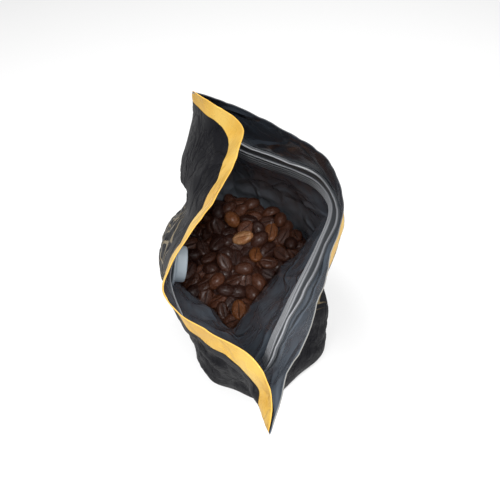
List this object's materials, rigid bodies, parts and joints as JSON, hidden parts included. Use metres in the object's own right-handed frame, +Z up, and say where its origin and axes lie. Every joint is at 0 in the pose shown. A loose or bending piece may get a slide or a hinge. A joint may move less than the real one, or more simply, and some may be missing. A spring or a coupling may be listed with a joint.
{
  "type": "open coffee bag with beans",
  "caption": "Open stand-up film bag with a gaping zip mouth and inner valve, part filled with roasted coffee beans.",
  "frame": {"origin": "on the floor, under the middle of the bag's box", "axes": "+Z up, the mouth's near tip towards -Y, the right corner towards +X"},
  "size_m": [0.1174, 0.1632, 0.2404],
  "materials": {
    "film": "satin black laminated film, dark slate inside, with a pale gold band round the mouth",
    "zip_plastic": "translucent grey extruded plastic with fine ridges",
    "valve_plastic": "pale blue-grey moulded plastic",
    "roasted_bean": "dark roasted beans with an oily half gloss, a few lighter ones"
  },
  "bodies": {
    "root": {"bottom": "film", "panel_back": "film", "panel_front": "film", "zip_back": "zip_plastic", "zip_front": "zip_plastic", "valve": "valve_plastic", "coffee_beans": "roasted_bean"}
  },
  "joints": []
}
